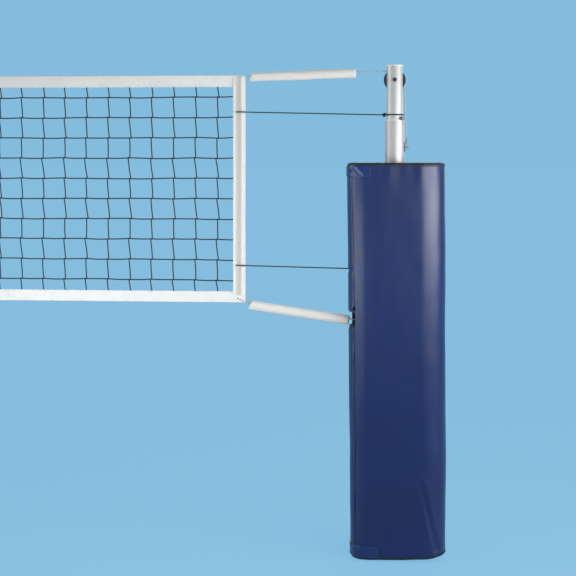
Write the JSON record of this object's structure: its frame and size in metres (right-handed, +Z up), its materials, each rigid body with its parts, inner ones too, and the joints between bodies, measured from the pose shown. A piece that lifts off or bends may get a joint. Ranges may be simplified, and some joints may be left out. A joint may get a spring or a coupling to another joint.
{
  "type": "volleyball net on poles",
  "caption": "Indoor volleyball net stretched by ropes between two telescoping aluminium posts in tall safety pads, with a geared rope winch.",
  "frame": {"origin": "on the right post's axis at floor level, where its lower tube enters the floor socket", "axes": "+X along the net towards the right post's outer side, +Z up, +Y from the front of the net to the back"},
  "size_m": [11.5956, 0.2466, 2.513],
  "materials": {
    "tube_aluminium": "satin anodised",
    "mast_aluminium": "satin anodised",
    "black_plastic": "matte",
    "cap_plastic": "matte",
    "sheave_plastic": "satin nylon",
    "bronze": "oiled bronze",
    "zinc_steel": "zinc plated",
    "dark_steel": "black oxide",
    "frame_paint": "semi-gloss black",
    "case_iron": "grey painted casting",
    "gear_bronze": "machined",
    "worm_steel": "ground",
    "grip_rubber": "moulded",
    "rope_dark": "braided",
    "rope_light": "braided",
    "cord_black": "braided",
    "tape_white": "vinyl coated tape",
    "band_canvas": "canvas",
    "net_twine": "knotted twine",
    "sleeve_cream": "padded cloth",
    "rod_white": "glass-fibre rod",
    "eyelet_brass": "pressed",
    "pad_navy": "vinyl over foam",
    "tab_navy": "vinyl coated strap"
  },
  "bodies": {
    "posts": {"right_lower_tube": "tube_aluminium", "left_lower_tube": "tube_aluminium", "foot_plugs": "black_plastic", "guide_bushes": "black_plastic", "rope_anchor": "dark_steel", "anchor_rivets": "zinc_steel", "bottom_eyes": "zinc_steel", "right_pad": "pad_navy", "left_pad": "pad_navy", "right_pad_tabs": "tab_navy", "left_pad_tabs": "tab_navy", "winch_frame": "frame_paint", "winch_saddle": "frame_paint", "winch_u_bolts": "zinc_steel", "winch_u_bolt_nuts": "zinc_steel", "gear_case": "case_iron", "gear_case_cover": "case_iron", "gear_case_screws": "zinc_steel", "winch_bushes": "bronze"},
    "mast_and_net": {"right_upper_tube": "mast_aluminium", "right_top_cap": "cap_plastic", "right_axle_bolt": "zinc_steel", "right_axle_nut": "zinc_steel", "net_mesh": "net_twine", "top_tape": "tape_white", "bottom_tape": "tape_white", "right_side_band": "band_canvas", "left_side_band": "band_canvas", "side_rods": "rod_white", "eyelets": "eyelet_brass", "top_rope": "rope_dark", "bottom_rope": "rope_dark", "corner_ropes": "rope_dark", "right_top_sleeve": "sleeve_cream", "left_top_sleeve": "sleeve_cream", "right_bottom_sleeve": "sleeve_cream", "left_bottom_sleeve": "sleeve_cream", "upper_ties": "cord_black", "lower_ties": "cord_black", "anchor_rope": "rope_light"},
    "left_mast": {"left_upper_tube": "mast_aluminium", "left_top_cap": "cap_plastic", "left_axle_bolt": "zinc_steel", "left_axle_nut": "zinc_steel", "winch_rope": "rope_light"},
    "right_rope_wheel": {"right_sheave": "sheave_plastic", "right_sheave_bush": "bronze"},
    "left_rope_wheel": {"left_sheave": "sheave_plastic", "left_sheave_bush": "bronze"},
    "right_pin": {"right_locking_pin": "dark_steel"},
    "left_pin": {"left_locking_pin": "dark_steel"},
    "drum": {"winch_drum": "zinc_steel", "drum_shaft": "worm_steel", "worm_wheel": "gear_bronze", "wound_rope": "rope_light"},
    "crank": {"worm_shaft": "worm_steel", "crank_arm": "zinc_steel", "crank_handle_bolt": "zinc_steel", "crank_nuts": "zinc_steel"},
    "grip": {"crank_grip": "grip_rubber"}
  },
  "joints": [
    {"name": "net_height", "type": "slide", "parent": "posts", "child": "mast_and_net", "axis": [0, 0, 1], "range_m": [0, 0.19], "deforming": ["anchor_rope", "corner_ropes", "right_bottom_sleeve", "left_bottom_sleeve", "lower_ties"]},
    {"name": "left_mast_height", "type": "slide", "parent": "posts", "child": "left_mast", "axis": [0, 0, 1], "range_m": [0, 0.19], "deforming": ["winch_rope"]},
    {"name": "right_sheave_spin", "type": "hinge", "parent": "mast_and_net", "child": "right_rope_wheel", "pos_m": [0, 0, 2.214], "axis": [0, 1, 0], "continuous": true},
    {"name": "left_sheave_spin", "type": "hinge", "parent": "left_mast", "child": "left_rope_wheel", "pos_m": [-10.973, 0, 2.214], "axis": [0, -1, 0], "continuous": true},
    {"name": "right_pin_slide", "type": "slide", "parent": "mast_and_net", "child": "right_pin", "axis": [0.7071, -0.7071, 0], "range_m": [0, 0.1]},
    {"name": "left_pin_slide", "type": "slide", "parent": "left_mast", "child": "left_pin", "axis": [-0.7071, -0.7071, 0], "range_m": [0, 0.1]},
    {"name": "crank_spin", "type": "hinge", "parent": "posts", "child": "crank", "pos_m": [-11.093, -0.0415, 1.109], "axis": [-1, 0, 0], "continuous": true},
    {"name": "drum_spin", "type": "hinge", "parent": "posts", "child": "drum", "pos_m": [-11.093, 0, 1.15], "axis": [0, -1, 0], "continuous": true},
    {"name": "grip_spin", "type": "hinge", "parent": "crank", "child": "grip", "pos_m": [-11.273, -0.0415, 0.959], "axis": [-1, 0, 0], "continuous": true}
  ],
  "couplings": [
    {"joint": "left_mast_height", "follows": "net_height", "ratio": 1},
    {"joint": "drum_spin", "follows": "crank_spin", "ratio": 0.033333},
    {"joint": "left_sheave_spin", "follows": "crank_spin", "ratio": -0.022835}
  ]
}
